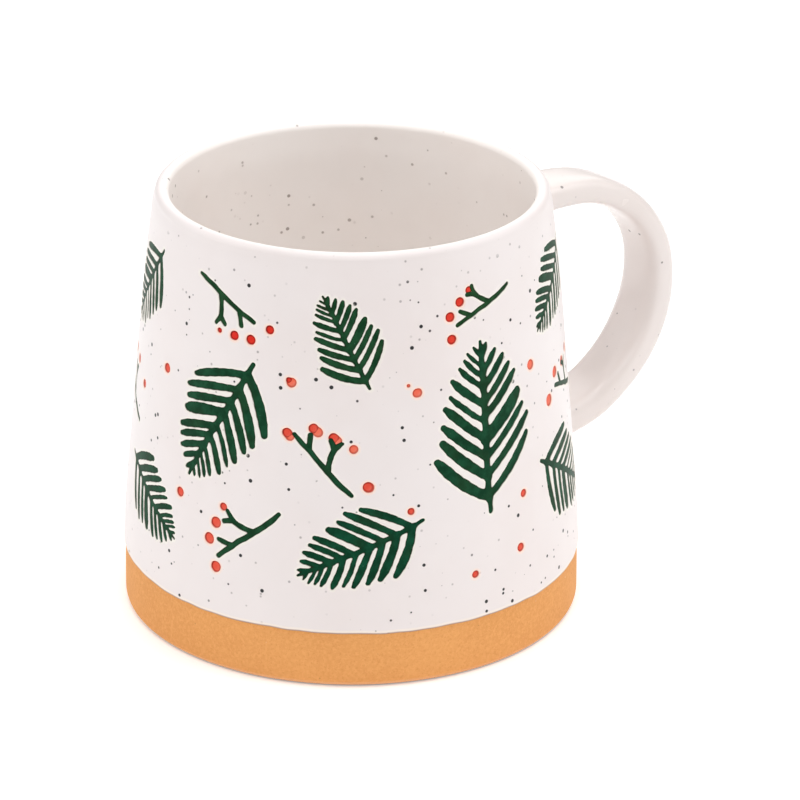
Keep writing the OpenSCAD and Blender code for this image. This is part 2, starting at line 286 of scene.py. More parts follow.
TWIG_BERRIES = [
    (-164, 74.8, 0.55), (-159.1, 74.5, 1.02), (-154, 74.4, 1.05), (-148.5, 77.2, 0.93),
    (-142.8, 55.85, 1.05), (-135.9, 57.3, 1.03), (-130.6, 55.4, 1.1), (-125.5, 53.1, 0.94),
    (-159.9, 37.1, 0.87), (-162, 33.2, 1.23), (-163.8, 29.3, 1.22), (-161.4, 23.5, 1.22),
    (-92.3, 84.2, 0.8), (-95.5, 82.15, 1.0), (-98.7, 79.4, 1.03), (-98.5, 74.65, 1.03),
    (-56.8, 57.9, 1.2), (-49.8, 58.2, 1.1), (-61.9, 53.1, 1.3), (-44, 59.5, 1),
    (162.3, 54.2, 0.9), (155, 57.6, 1), (149.5, 58.6, 1), (142.5, 53.6, 1.1),
    (-28, 73, 0.9), (-23.6, 71.4, 1), (-19.4, 71.2, 1.1), (-14.2, 74, 1),
    (-25.6, 39.2, 0.9), (-28.8, 35.8, 1), (-29.4, 31.6, 1.1), (-27.2, 27.6, 1),
    (34, 56.4, 0.9), (31, 60.4, 1), (27, 63.8, 1.1), (20.6, 65.6, 1),
    (78, 75.8, 0.9), (82.4, 74.6, 1), (87, 74.4, 1.1), (92, 77, 1),
    (111, 54.4, 0.9), (108, 58.2, 1), (104, 61.8, 1.1), (98, 63.4, 1),
    (136, 43.6, 0.9), (131.6, 41.2, 1), (127.4, 38, 1.1), (125.6, 33, 1),
]
LOOSE_BERRIES = [
    (-142, 66.7, 1.06), (-108.7, 64.4, 1.0), (-121.9, 44.9, 1.1), (-111, 39, 0.75), (-174.8, 36.8, 1.05),
    (176, 61.8, 1.05), (-70.7, 63.5, 1.1), (-76.9, 36.6, 0.85), (-79, 25, 0.95), (-94, 22.6, 0.8),
    (-36, 67, 1), (-8, 40, 0.9), (18, 42, 1), (42, 60, 1.1), (54, 78, 1), (76, 26, 0.9),
    (92, 68, 1), (118, 62, 1.1), (120, 46, 0.9), (134, 24, 1),
]
# How olive the green is on some sprigs and twigs, from blue-green at 0 to olive at 1
SPRIG_OLIVE = {1: 0.25, 2: 0.6, 3: 0.3, 4: 0.0}
TWIG_OLIVE = {1: 0.8, 2: 0.35, 3: 0.5, 4: 1.0}
# How light the red is on each twig's berries in turn, from deep red at 0 to salmon at 1
TWIG_LIGHTNESS = [0.0, 0.3, 0.4, 0.1, 0.75, 0.5, 0.3, 0.1, 0.5, 0.0, 0.4, 0.2]
# Paler dabs of red that lie under a berry and show beside it: azimuth and height of the
# berry, then across, up and radius
SECOND_DABS = {
    (-142.8, 55.85): (0.6, -0.72, 0.96), (-135.9, 57.3): (0.86, -0.74, 1.1), (-130.6, 55.4): (0.6, -0.58, 1.1),
    (-121.9, 44.9): (0.2, -0.1, 1.08), (-108.7, 64.4): (-1.85, 1.75, 0.36),
    (27, 63.8): (0.6, -0.6, 1.0), (87, 74.4): (0.6, -0.5, 1.0),
    (104, 61.8): (0.6, -0.6, 1.0), (118, 62): (0.5, -0.5, 1.0),
}
# Berries that are all pale, but for a small deep dab on top of them: across, up and radius
PALE_BERRIES = {(-142, 66.7): (-0.55, 0.42, 0.62), (-125.5, 53.1): None, (-108.7, 64.4): None, (-70.7, 63.5): None}
SEAM_AZ = 14.5
ACROSS = math.radians(47)  # unrolled mm to a degree of azimuth


def leaflet(root, tip_x, tip_y, sag, width, grow=1.0, swing=0.0):
    """A leaflet's stroke: it sags a little towards the stem, and is widest near its end."""
    t = np.linspace(0, 1, 13)
    tip = np.array([tip_x * grow, root + (tip_y - root) * grow + swing * abs(tip_x)])
    base = np.array([0.15, root])
    length = np.linalg.norm(tip - base)
    t = t * (1 - 0.3 * width / length)
    pts = base * (1 - t)[:, None] + tip * t[:, None]
    pts[:, 1] -= 4 * sag * t * (1 - t)
    shape = np.interp(np.linspace(0, 1, 13), [0, 0.25, 0.6, 0.86, 1], [0.86, 0.88, 1.0, 0.97, 0.62])
    return pts, shape * width / 2, "leaf"


def spine_stroke(points, group):
    a = np.array(points, float)
    return a[:, :2], a[:, 2] / 2, group


class Motif:
    """One painted shape on the wall: its field, and the way between wall and field."""

    def __init__(self, place, field, red=0.0, narrow=1.0):
        self.az, self.z, turn, self.size = place
        self.az = self.az if self.az > SEAM_AZ else self.az + 360
        self.c, self.s = math.cos(math.radians(turn)), math.sin(math.radians(turn))
        self.field, self.red, self.narrow = field, red, narrow

    def to_wall(self, p):
        x, y = p[:, 0] * self.narrow, p[:, 1]
        q = np.stack([x * self.c - y * self.s, x * self.s + y * self.c], 1) * self.size
        z = self.z + q[:, 1]
        return np.stack([(self.az + np.degrees(q[:, 0] / wall_r(z))) * ACROSS, z], 1)

    def distance(self, w):
        """Signed distance in mm at unrolled wall points."""
        qx = np.radians(w[:, 0] / ACROSS - self.az) * wall_r(w[:, 1])
        qy = w[:, 1] - self.z
        p = np.stack([(qx * self.c + qy * self.s) / self.narrow, -qx * self.s + qy * self.c], 1) / self.size
        return self.field.at(p) * self.size

    def loops(self, level, longest):
        found = [thinned(l, self.size, longest) for l in self.field.loops(level / self.size) if len(l) > 8]
        return [self.to_wall(l) for l in found if len(l) >= 6]


def sprig_motif(k, place):
    """Every sprig is the same drawing; all but the first differ a little in their strokes."""
    rng = np.random.default_rng(100 + k)
    strokes = [spine_stroke(SPINE, "spine")]
    for row in RIGHT_LEAFLETS + LEFT_LEAFLETS:
        wide, grow, swing = rng.uniform(1.04, 1.14), rng.uniform(0.98, 1.01), rng.uniform(-0.015, 0.015)
        if k == 0:
            wide, grow, swing = 1, 1, 0
        elif row[4] > 3:
            wide *= 0.84
        strokes.append(leaflet(*row[:4], row[4] * wide, grow, swing))
    return Motif(place, Field(strokes, 0.6, 1.7, 0.045, k + 0.3), 0.0, NARROW_SPRIGS.get(k, 1.0))


def twig_motif(k, place):
    return Motif(place, Field([spine_stroke(s, "twig") for s in TWIG_STROKES], 0.5, 1.3, 0.04, k + 0.6))


def berry_motif(k, berry):
    """A berry and its dabs, the lowest first: across, up, radius and lightness."""
    az, z, r = berry
    light = TWIG_LIGHTNESS[k // 4] if k < len(TWIG_BERRIES) else 0.35
    dabs = [(0, 0, r, 0.85 if (az, z) in PALE_BERRIES else light)]
    if (az, z) in SECOND_DABS:
        dabs.insert(0, (*SECOND_DABS[az, z], 0.9))
    if PALE_BERRIES.get((az, z)):
        dabs.append((*PALE_BERRIES[az, z], 0.1))
    strokes = [
        (np.array([[x, y], [x + 0.02, y]]), np.array([q, q]), f"dab{n}")
        for n, (x, y, q, _) in enumerate(dabs)
    ]
    motif = Motif((az, z, 0, 1.0), Field(strokes, 0.25, 1.2, 0.02, 1.7 * k), 1.0)
    motif.dabs = dabs
    return motif


sprigs = [sprig_motif(k, p) for k, p in enumerate(SPRIGS)]
twigs = [twig_motif(k, p) for k, p in enumerate(TWIGS)]
berries = [berry_motif(k, b) for k, b in enumerate(TWIG_BERRIES + LOOSE_BERRIES)]
motifs = sprigs + twigs + berries

# ---- meshes ----


def link(obj):
    bpy.context.scene.collection.objects.link(obj)
    return obj


def add_piece(name, points, faces, material, replaced=(), normals=None, values=None):
    """A smooth mesh on the mug's body. normals are wanted directions and how much of each to take."""
    mesh = bpy.data.meshes.new(name)
    mesh.from_pydata((np.asarray(points) * MM).tolist(), [], [tuple(f) for f in faces])
    mesh.validate()
    mesh.update()
    mesh.polygons.foreach_set("use_smooth", [True] * len(mesh.polygons))
    mesh.materials.append(material)
    for key, data in (values or {}).items():
        mesh.attributes.new(key, "FLOAT", "POINT").data.foreach_set("value", np.asarray(data, np.float32))
    if normals is not None:
        own = np.zeros(len(mesh.vertices) * 3)
        mesh.vertices.foreach_get("normal", own)
        own = own.reshape(-1, 3)
        wanted, share = normals
        mixed = own * (1 - share[:, None]) + wanted * share[:, None]
        mixed /= np.linalg.norm(mixed, axis=1)[:, None]
        mesh.normals_split_custom_set_from_vertices(mixed.tolist())
    obj = link(bpy.data.objects.new(name, mesh))
    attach(obj, "root")
    if replaced:
        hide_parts(*replaced)


def quads(lower, upper):
    """Faces between two closed rings of points."""
    n = len(lower)
    return [(lower[k], lower[(k + 1) % n], upper[(k + 1) % n], upper[k]) for k in range(n)]


def edges_of(f):
    return (f[0], f[1]), (f[1], f[2]), (f[2], f[0])


def lathe(profile, columns):
    """Points and quads of a profile of (radius, height) turned round the axis. A first or
    last radius of 0 becomes one point."""
    az = np.arange(columns) * 360 / columns + SEAM_AZ
    points, rings = [], []
    for r, z in profile:
        if r < 1e-6:
            rings.append([len(points)])
            points.append((0.0, 0.0, z))
        else:
            rings.append(list(range(len(points), len(points) + columns)))
            points.extend(round_point(az, r, z).tolist())
    faces = []
    for a, b in zip(rings[:-1], rings[1:]):
        if len(a) == 1:
            faces.extend((a[0], b[(k + 1) % columns], b[k]) for k in range(columns))
        elif len(b) == 1:
            faces.extend((a[k], a[(k + 1) % columns], b[0]) for k in range(columns))
        else:
            faces.extend(quads(a, b))
    return points, faces


def arc(cx, cz, r, a0, a1, n):
    a = np.radians(np.linspace(a0, a1, n))
    return [(cx + r * c, cz + r * s) for c, s in zip(np.cos(a), np.sin(a))]


def triangulate(points, chains, barriers):
    """Constrained triangles over unrolled wall points. chains are lists of indices, and the
    ones named in barriers part the plane. Returns points, the source index of each (-1 for
    a new one), triangles and each triangle's region."""
    edges, wall_edges = [], set()
    for n, chain in enumerate(chains):
        for a, b in chain:
            if n in barriers:
                wall_edges.add(len(edges))
            edges.append((a, b))
    out = delaunay_2d_cdt([Vector(p) for p in points.tolist()], edges, [], 0, 1e-5, True)
    verts = np.array([tuple(v) for v in out[0]])
    source = np.array([o[0] if o else -1 for o in out[3]])
    stop = {tuple(sorted(e)) for e, o in zip(out[1], out[4]) if any(i in wall_edges for i in o)}
    tris = [tuple(f) for f in out[2]]
    by_edge = {}
    for t, f in enumerate(tris):
        for a, b in edges_of(f):
            by_edge.setdefault((a, b) if a < b else (b, a), []).append(t)
    region = [-1] * len(tris)
    count = 0
    for seed in range(len(tris)):
        if region[seed] >= 0:
            continue
        region[seed] = count
        todo = [seed]
        while todo:
            f = tris[todo.pop()]
            for a, b in edges_of(f):
                e = (a, b) if a < b else (b, a)
                if e in stop:
                    continue
                for t in by_edge[e]:
                    if region[t] < 0:
                        region[t] = count
                        todo.append(t)
        count += 1
    return verts, source, tris, np.array(region)


def biggest_centres(verts, tris, region):
    """The middle of the largest triangle of each region."""
    t = np.array(tris)
    a, b, c = verts[t[:, 0]], verts[t[:, 1]], verts[t[:, 2]]
    area = np.abs((b - a)[:, 0] * (c - a)[:, 1] - (b - a)[:, 1] * (c - a)[:, 0])
    best = {}
    for k, (g, s) in enumerate(zip(region, area)):
        if g not in best or s > area[best[g]]:
            best[g] = k
    return {g: (a[k] + b[k] + c[k]) / 3 for g, k in best.items()}


# Glaze levels round a painted shape: distance from its edge, and how far the surface has dropped
EDGE_D = np.array([0.0, 0.08, 0.2, 0.42, 0.8])
EDGE_DROP = np.array([0.13, 0.06, 0.012, -0.012, 0.0])
INLAY_OFF = 0.15
COLUMNS = 240
CUT_TOP = 88.6
SEAM_ROWS = 32
GRID = 2.3  # spacing of the wall's own points
CLEAR = 1.3  # how far they keep from a painted shape
LIP_OUT = [9, 18, 27, 36, 45, 54, 63, 72, 80, 86, 89.3, 90]
LIP_IN = [90, 90.7, 94, 100, 108, 117, 126, 135, 144, 153, 162, 171, 180]
# The glaze's bead: height above its lower edge, and distance from the clay
BEAD = [(0.0, 0.0), (0.02, 0.14), (0.09, 0.26), (0.2, 0.34), (0.38, 0.385), (0.65, 0.39), (1.0, 0.365), (1.6, 0.35)]
BEAD_EDGE = [0.0, 0.0, 0.0, 0.02, 0.05, 0.14, 0.6]  # what the edge value reads along the bead, for the paint's halo and for the painted shade line at the coat's lower edge
WINDOWS = [(80.2, 16.2, 10.0), (26.4, 17.2, 11.8)]  # openings at the joints: height, width, length


def dip_line(az):
    """Height of the glaze's lower edge round the mug."""
    a = np.radians(az)
    tilt = 0.2 * (1 - np.cos(2 * a + math.radians(252))) + 0.3 * np.cos(a - math.radians(144)) - 0.12
    slow = 0.22 * np.sin(a + 0.9) + 0.1 * np.sin(3 * a + 2) + 0.06 * np.sin(7 * a)
    ragged = 0.05 * np.sin(17 * a + 1) + 0.035 * np.sin(31 * a) + 0.035 * np.sin(47 * a + 2) + 0.02 * np.sin(59 * a)
    return DIP_Z + tilt + slow + ragged


def squared(v, n):
    return np.sign(v) * np.abs(v) ** (2 / n)


def glaze_coat():
    """The outer coat as one mesh, with every painted shape and both joints cut out of it."""
    columns = np.arange(COLUMNS + 1) * 360 / COLUMNS + SEAM_AZ
    low = dip_line(columns) + BEAD[-1][0]
    pts, level, chains, barriers = [], [], [], set()

    def add_chain(xy, value, barrier):
        first = sum(len(p) for p in pts)
        pts.append(xy)
        level.append(np.full(len(xy), value))
        ids = list(range(first, first + len(xy)))
        if barrier:
            barriers.add(len(chains))
        chains.append(list(zip(ids, ids[1:] + ids[:1])))

    seam_z = np.linspace(low[0], CUT_TOP, SEAM_ROWS + 2)
    rim = np.concatenate([
        np.stack([columns * ACROSS, low], 1),
        np.stack([np.full(SEAM_ROWS, columns[-1] * ACROSS), seam_z[1:-1]], 1),
        np.stack([columns[::-1] * ACROSS, np.full(COLUMNS + 1, CUT_TOP)], 1),
        np.stack([np.full(SEAM_ROWS, columns[0] * ACROSS), seam_z[-2:0:-1]], 1),
    ])
    add_chain(rim, FAR, True)
    n_bottom = COLUMNS + 1
    bottom_ids = list(range(n_bottom))
    top_at = n_bottom + SEAM_ROWS
    right_ids = list(range(n_bottom, top_at))
    top_ids = list(range(top_at, top_at + n_bottom))[::-1]
    left_ids = list(range(top_at + n_bottom, len(rim)))[::-1]

    for z, wide, high in WINDOWS:
        a = np.radians(np.arange(56) * 360 / 56)
        y, dz = squared(np.cos(a), 3) * wide / 2, squared(np.sin(a), 3) * high / 2
        az = 360 + np.degrees(np.arcsin(y / wall_r(z + dz)))
        add_chain(np.stack([az * ACROSS, z + dz], 1), FAR, True)

    for m in motifs:
        for n, d in enumerate(EDGE_D):
            for loop in m.loops(d, 0.9 if n < 3 else 1.4):
                add_chain(loop, d, n == 0)

    gx = np.arange(SEAM_AZ * ACROSS + 1.2, (SEAM_AZ + 360) * ACROSS - 0.8, GRID)
    gy = np.arange(low.max() + CLEAR, CUT_TOP - 1.0, GRID)
    grid = np.array([(x + (0.55 if k % 2 else -0.55), y) for k, y in enumerate(gy) for x in gx])
    near = np.min([m.distance(grid) for m in motifs], axis=0)
    in_window = np.zeros(len(grid), bool)
    for z, wide, high in WINDOWS:
        dy = np.radians(grid[:, 0] / ACROSS - 360) * wall_r(z)
        in_window |= (np.abs(dy) < wide / 2 + 1) & (np.abs(grid[:, 1] - z) < high / 2 + 1)
    grid = grid[(near > CLEAR) & ~in_window]
    pts.append(grid)
    level.append(np.full(len(grid), FAR))
    pts, level = np.concatenate(pts), np.concatenate(level)

    verts, source, tris, region = triangulate(pts, chains, barriers)
    dist = np.where(source >= 0, level[np.maximum(source, 0)], FAR)
    red = np.zeros(len(verts))
    nearest = np.full(len(verts), FAR)
    for m in motifs:
        d = m.distance(verts)
        closer = d < nearest - 1e-9
        red[closer] = m.red
        nearest = np.minimum(nearest, d)
    own = dist < FAR - 0.5
    dist = np.where(own, np.minimum(dist, np.where(nearest < dist - 0.05, nearest, dist)), nearest)
    dist = np.maximum(dist, 0)
    off = GLAZE_T - np.interp(dist, EDGE_D, EDGE_DROP)

    # Keep the regions of wall: inside the outline, outside every shape and joint window
    centres = biggest_centres(verts, tris, region)
    kept_regions = set()
    for g, c in centres.items():
        w = c[None, :]
        az = c[0] / ACROSS
        inside = SEAM_AZ < az < SEAM_AZ + 360 and np.interp(az, columns, low) < c[1] < CUT_TOP
        clear = min(float(m.distance(w)[0]) for m in motifs) > 0
        for z, wide, high in WINDOWS:
            dy = math.radians(az - 360) * float(wall_r(z))
            if abs(dy / (wide / 2)) ** 3 + abs((c[1] - z) / (high / 2)) ** 3 < 1:
                clear = False
        if inside and clear:
            kept_regions.add(g)
    kept = [t for t, g in zip(tris, region) if g in kept_regions]

    # The seam's two sides are one line of points
    back = {int(s): k for k, s in enumerate(source) if s >= 0}
    swap = np.arange(len(verts))
    for a, b in zip([bottom_ids[0]] + left_ids + [top_ids[0]], [bottom_ids[-1]] + right_ids + [top_ids[-1]]):
        swap[back[b]] = back[a]
    az = verts[:, 0] / ACROSS
    points = on_wall(az, verts[:, 1], off)
    normal = outer_normal(az, verts[:, 1])
    share = np.clip((dist - 0.3) / 0.5, 0, 1)
    faces = [tuple(int(swap[i]) for i in t) for t in kept]

    # Skirts: the glaze's thickness at each shape's edge and at the joint windows
    owner = dict.fromkeys(e for f in faces for e in edges_of(f))
    rim_set = {back[i] for i in bottom_ids + top_ids + left_ids + right_ids if i in back}
    points = points.tolist()
    twin = {}

    def below(i):
        if i not in twin:
            twin[i] = len(points)
            points.append(on_wall(az[i], verts[i, 1], 0.02).tolist())
        return twin[i]

    for a, b in list(owner):
        if (b, a) not in owner and not (a in rim_set and b in rim_set):
            faces.append((b, a, below(a), below(b)))

    # Bead at the dip line, and the rows above the cut zone round the lip to its crest
    ring_az = columns[:-1]
    rows = []
    for up, o in BEAD[:-1]:
        s = dip_line(ring_az) + up
        rows.append((s, np.full(COLUMNS, o)))
    lip_s = np.concatenate([np.linspace(CUT_TOP + 0.85, LIP_Z, 5), LIP_Z + LIP_R * np.radians(LIP_OUT)])
    for s in lip_s:
        rows.append((np.full(COLUMNS, s), np.full(COLUMNS, GLAZE_T)))
    ids, row_normal = [], []
    for s, o in rows:
        ids.append(list(range(len(points), len(points) + COLUMNS)))
        points.extend(on_wall(ring_az, s, o).tolist())
        row_normal.append(outer_normal(ring_az, s))
    n_bead = len(BEAD) - 1
    bottom = [int(swap[back[i]]) for i in bottom_ids[:-1]]
    top = [int(swap[back[i]]) for i in top_ids[:-1]]
    for stack in (ids[:n_bead] + [bottom], [top] + ids[n_bead:]):
        for lower, upper in zip(stack[:-1], stack[1:]):
            faces.extend(quads(lower, upper))
    under = list(twin)
    bead, above = n_bead * COLUMNS, (len(rows) - n_bead) * COLUMNS
    all_normals = np.concatenate([normal, normal[under]] + row_normal)
    all_share = np.concatenate([share, np.zeros(len(under) + bead), np.ones(above)])
    values = {
        "edge": np.concatenate([dist, np.zeros(len(under)), np.repeat(BEAD_EDGE, COLUMNS), np.full(above, FAR)]),
        "red": np.concatenate([red, red[under], np.full(bead, 0.3), np.zeros(above)]),
    }
    return compact(points, faces, all_normals, all_share, values)


# Levels inside a painted shape: distance from the edge, and height above the clay
INSIDE_D = [0.045, -0.1, -0.28]


def inlay(group, off=INLAY_OFF, dome=0.02):
    """The colour that fills painted shapes: top, sides and floor, as one closed solid each."""
    points, faces, edge, normals, share = [], [], [], [], []
    for m in group:
        pts, chains = [], []
        for n, d in enumerate(INSIDE_D):
            for loop in m.loops(d, 0.9):
                first = sum(len(p) for p in pts)
                pts.append(loop)
                ids = list(range(first, first + len(loop)))
                chains.append(list(zip(ids, ids[1:] + ids[:1])))
                if n == 0:
                    outer = len(chains)
        barriers = set(range(outer))
        cloud = np.concatenate(pts)
        x0, y0 = cloud.min(0)
        x1, y1 = cloud.max(0)
        grid = np.array([(x, y) for x in np.arange(x0, x1, 1.1) for y in np.arange(y0, y1, 1.1)]).reshape(-1, 2)
        grid = grid[m.distance(grid) < -0.5] if len(grid) else grid
        cloud = np.concatenate([cloud, grid])
        verts, _, tris, region = triangulate(cloud, chains, barriers)
        centres = biggest_centres(verts, tris, region)
        inside = {g for g, c in centres.items() if m.distance(c[None, :])[0] < INSIDE_D[0]}
        kept = [t for t, g in zip(tris, region) if g in inside]
        d = m.distance(verts)
        az = verts[:, 0] / ACROSS
        lift = off + dome * np.clip(-d / 0.3, -0.5, 1)
        base = len(points)
        points.extend(on_wall(az, verts[:, 1], lift).tolist())
        edge.extend((-d).tolist())
        nrm = outer_normal(az, verts[:, 1])
        normals.extend(nrm.tolist())
        share.extend(np.where(d > -0.05, 0.4, 0.85).tolist())
        floor = len(points)
        points.extend(on_wall(az, verts[:, 1], 0.0).tolist())
        edge.extend([0.0] * len(verts))
        normals.extend((-nrm).tolist())
        share.extend([0.0] * len(verts))
        directed = set()
        for a, b, c in kept:
            directed.update(((a, b), (b, c), (c, a)))
            faces.append((base + a, base + b, base + c))
            faces.append((floor + c, floor + b, floor + a))
        for a, b in directed:
            if (b, a) not in directed:
                faces.append((base + b, base + a, floor + a, floor + b))
    return compact(points, faces, normals, share, {"edge": edge})


def compact(points, faces, normals, share, values):
    """The same mesh without the points that no face uses."""
    used = np.unique(np.concatenate([np.array(f) for f in faces]))
    renumber = -np.ones(len(points), int)
    renumber[used] = np.arange(len(used))
    return (
        np.array(points)[used],
        [tuple(renumber[list(f)]) for f in faces],
        np.array(normals)[used],
        np.array(share)[used],
        {k: np.array(v)[used] for k, v in values.items()},
    )


def dabs_of_red(group):
    """Each dab of red is its own flat drop, the later ones laid over the first."""
    points, faces, normals, share = [], [], [], []
    values = {"edge": [], "light": [], "shade": []}
    across, rows = 28, (0.3, 0.6, 0.82, 0.94, 1.0)
    a = np.radians(np.arange(across) * 360 / across)
    for k, m in enumerate(group):
        for n, (x, y, r, light) in enumerate(m.dabs):
            wob = 1 + 0.035 * np.sin(2 * a + k) + 0.02 * np.sin(3 * a + 2 * k + n)
            off = INLAY_OFF - 0.05 + 0.02 * n
            base = len(points)

            def ring(f, o, edge):
                dx, dy = f * wob * np.cos(a), f * wob * np.sin(a)
                w = m.to_wall(np.stack([x + (r + 0.03) * dx, y + (r + 0.03) * dy], 1))
                points.extend(on_wall(w[:, 0] / ACROSS, w[:, 1], o).tolist())
                normals.extend(outer_normal(w[:, 0] / ACROSS, w[:, 1]).tolist())
                share.extend([0.75 if f < 0.9 else 0.3] * across)
                values["edge"].extend([edge] * across)
                values["light"].extend([light] * across)
                # shade runs from the lower right (-1) to the upper left (1): the upper left gets painted shade, the
                # lower right painted light
                values["shade"].extend((0.7 * dy - 0.7 * dx).tolist())

            ring(0.02, off + 0.03, r)
            for f in rows:
                ring(f, off + 0.03 * (1 - f * f), r * (1 - f))
            ring(1.0, 0.0, 0.0)
            faces.append(tuple(base + j for j in range(across)))
            for q in range(len(rows) + 1):
                lo, hi = base + q * across, base + (q + 1) * across
                for j in range(across):
                    i = (j + 1) % across
                    faces.append((lo + j, hi + j, hi + i, lo + i))
            faces.append(tuple(base + (len(rows) + 1) * across + j for j in range(across))[::-1])
    return np.array(points), faces, np.array(normals), np.array(share), {k: np.array(v) for k, v in values.items()}


# ---- strap handle ----
HANDLE_PATH = np.array([
    (40, 80), (52, 81.2), (64, 79.6), (75, 73), (81.4, 62.5), (81.6, 50), (76, 38.5), (66, 30.2), (55, 27), (43, 26),
], float)
STRAP_W, STRAP_T = (13.6, 12.2, 13.4, 14.6), (6.6, 6.2, 7.6, 8.4)
STRAP_SQUARE = 3.3
FILLET = 2.6
STRAP_ROWS = 150


def on_path(u):
    last = len(HANDLE_PATH) - 2
    i = np.clip(np.floor(u).astype(int), 0, last)
    t = (u - i)[:, None]
    get = lambda k: HANDLE_PATH[np.clip(k, 0, last + 1)]
    a, b, c, d = get(i - 1), get(i), get(i + 1), get(i + 2)
    return 0.5 * (2 * b + (c - a) * t + (2 * a - 5 * b + 4 * c - d) * t**2 + (3 * b - a - 3 * c + d) * t**3)


def along(values, f):
    v = np.array(values, float)
    k = np.clip(np.floor(f * 3).astype(int), 0, 2)
    t = f * 3 - k
    e = t * t * (3 - 2 * t)
    return v[k] * (1 - e) + v[k + 1] * e


def strap_rings(n_along, n_round, off):
    """Rings of points round the strap, in mm, from the top joint to the lower one."""
    u = np.linspace(0, len(HANDLE_PATH) - 1, 600)
    p = on_path(u)
    for _ in range(30):
        p[1:-1] = 0.25 * p[:-2] + 0.5 * p[1:-1] + 0.25 * p[2:]
    run = np.concatenate([[0], np.cumsum(np.linalg.norm(np.diff(p, axis=0), axis=1))])
    at = np.linspace(0, run[-1], n_along)
    c = np.stack([np.interp(at, run, p[:, 0]), np.interp(at, run, p[:, 1])], 1)
    f = np.interp(at, run, u) / (len(HANDLE_PATH) - 1)
    d = np.gradient(c, axis=0)
    d /= np.linalg.norm(d, axis=1)[:, None]
    side = np.stack([-d[:, 1], d[:, 0]], 1)
    w, t = along(STRAP_W, f) / 2 + off, along(STRAP_T, f) / 2 + off
    a = np.radians(np.arange(n_round) * 360 / n_round)
    ex, ey = squared(np.cos(a), STRAP_SQUARE), squared(np.sin(a), STRAP_SQUARE)
    x = c[:, 0, None] + side[:, 0, None] * t[:, None] * ey
    z = c[:, 1, None] + side[:, 1, None] * t[:, None] * ey
    y = w[:, None] * ex * np.ones_like(x)
    return np.stack([x, y, z], -1)


def wall_gap(p, off=GLAZE_T):
    """How far points stand off the glazed wall, level with them."""
    return np.hypot(p[..., 0], p[..., 1]) - wall_r(p[..., 2]) - off


def handle_mesh(n_round, off, fillet):
    """The strap cut off at the wall, flaring into it where there is a fillet."""
    rings = strap_rings(300, n_round, off)
    gap = wall_gap(rings)
    lines = []
    for j in range(n_round):
        line, g = rings[:, j], gap[:, j]
        outside = np.argwhere(g > 0)[:, 0]
        i0, i1 = outside[0], outside[-1]

        def crossing(a, b):
            t = g[a] / (g[a] - g[b])
            return line[a] * (1 - t) + line[b] * t

        lines.append((crossing(i0 - 1, i0), line[i0 : i1 + 1], crossing(i1, i1 + 1)))
    body = np.zeros((STRAP_ROWS, n_round, 3))
    foot_a, foot_b = np.zeros((n_round, 3)), np.zeros((n_round, 3))
    for j, (pa, mid, pb) in enumerate(lines):
        full = np.concatenate([[pa], mid, [pb]])
        run = np.concatenate([[0], np.cumsum(np.linalg.norm(np.diff(full, axis=0), axis=1))])
        lo, hi = (fillet, run[-1] - fillet) if fillet else (0, run[-1])
        at = np.linspace(lo, hi, STRAP_ROWS)
        body[:, j] = np.stack([np.interp(at, run, full[:, k]) for k in range(3)], 1)
        foot_a[j], foot_b[j] = pa, pb

    def blend_rings(foot, start):
        """Rings from the strap down to the wall, curving out to lie along it."""
        centre = foot.mean(0)
        tangent = np.roll(foot, -1, 0) - np.roll(foot, 1, 0)
        az = np.arctan2(foot[:, 1], foot[:, 0])
        normal = np.stack([np.cos(az), np.sin(az), np.zeros_like(az)], 1)
        out = np.cross(normal, tangent)
        out /= np.linalg.norm(out, axis=1)[:, None]
        out *= np.sign(((foot - centre) * out).sum(1))[:, None]
        end = foot + out * fillet
        z = end[:, 2]
        r = wall_r(z) + GLAZE_T + uneven(np.degrees(az), z)
        a = np.arctan2(end[:, 1], end[:, 0])
        end = np.stack([r * np.cos(a), r * np.sin(a), z], 1)
        rows = []
        for t in np.linspace(0, 1, 11)[1:]:
            rows.append((1 - t) ** 2 * start + 2 * t * (1 - t) * foot + t * t * end)
        return rows, end

    if fillet:
        first, end_a = blend_rings(foot_a, body[0])
        last, end_b = blend_rings(foot_b, body[-1])
        inner = lambda e: e * np.array([0.992, 0.992, 1.0])
        stack = [inner(end_a)] + first[::-1] + list(body) + last + [inner(end_b)]
    else:
        inner = lambda e: e * np.array([0.999, 0.999, 1.0])
        stack = [inner(foot_a)] + list(body) + [inner(foot_b)]
    points = np.concatenate(stack)
    n = len(stack)
    rounds = [range(i * n_round, (i + 1) * n_round) for i in range(n)]
    faces = [f for a, b in zip(rounds[:-1], rounds[1:]) for f in quads(a, b)]
    faces += [tuple(rounds[0])[::-1], tuple(rounds[-1])]
    return points, faces


# ---- materials ----


